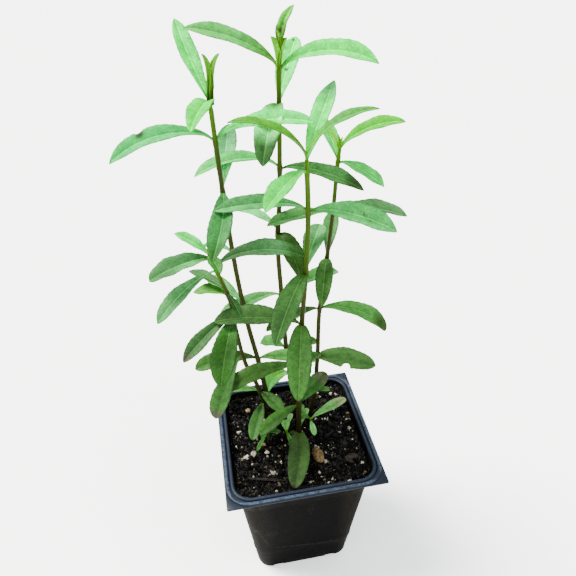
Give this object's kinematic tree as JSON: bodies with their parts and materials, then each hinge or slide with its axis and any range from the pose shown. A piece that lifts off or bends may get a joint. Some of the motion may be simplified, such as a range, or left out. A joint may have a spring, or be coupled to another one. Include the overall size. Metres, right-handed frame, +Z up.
{
  "type": "potted mexican mint marigold",
  "caption": "Young herb plant with slim upright stems and narrow toothed leaves in opposite pairs, growing in soil in a thin square nursery pot.",
  "frame": {"origin": "middle of the pot's underside, on the surface that the pot stands on", "axes": "+Z up along the plant, -Y towards the front edge of the pot, +X to the right along that edge"},
  "size_m": [0.1512, 0.1146, 0.355],
  "materials": {
    "pot_plastic": "satin",
    "soil": "matte",
    "leaf_green": "satin",
    "pebble": "matte",
    "bark": "matte",
    "perlite": "matte"
  },
  "bodies": {
    "root": {"pot": "pot_plastic", "soil": "soil", "stem_tall_left": "leaf_green", "stem_tall_middle": "leaf_green", "stem_front": "leaf_green", "stem_right": "leaf_green", "stem_short_left": "leaf_green", "shoot_right": "leaf_green", "shoot_middle": "leaf_green", "shoot_left": "leaf_green", "pebble_tan": "pebble", "bark_flat": "bark", "bark_strip": "bark", "perlite_lump": "perlite"}
  },
  "joints": []
}
